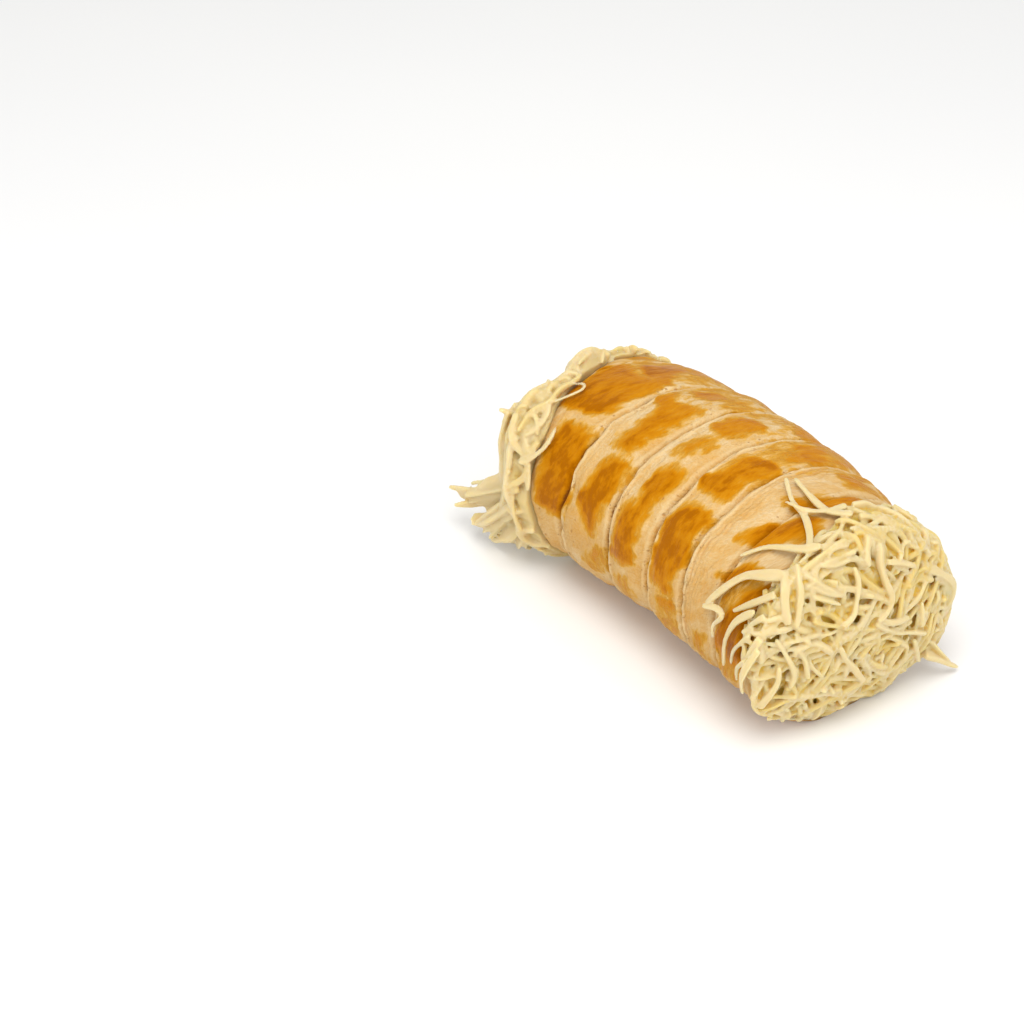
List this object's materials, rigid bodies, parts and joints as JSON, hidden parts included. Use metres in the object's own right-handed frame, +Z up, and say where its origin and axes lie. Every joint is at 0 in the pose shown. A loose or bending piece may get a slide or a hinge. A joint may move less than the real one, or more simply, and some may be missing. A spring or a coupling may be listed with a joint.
{
  "type": "cheese filled puff pastry roll",
  "caption": "Baked puff pastry roll wound from one glazed strip, filled with grated cheese that spills out at both open ends.",
  "frame": {"origin": "On the surface that the roll rests on, in the middle of the flat underside of the crust.", "axes": "+X along the roll, towards the end with the fuller heap of cheese; +Z up; +Y across the roll, away from the side that the ends curve towards."},
  "size_m": [0.1166, 0.063, 0.0506],
  "materials": {
    "pastry": "egg-washed baked crust: glossy amber patches between pale, dry, layered seams",
    "cheese": "pale yellow grated cheese with a soft, slightly moist sheen"
  },
  "bodies": {
    "root": {"pastry": "pastry", "cheese": "cheese"}
  },
  "joints": []
}
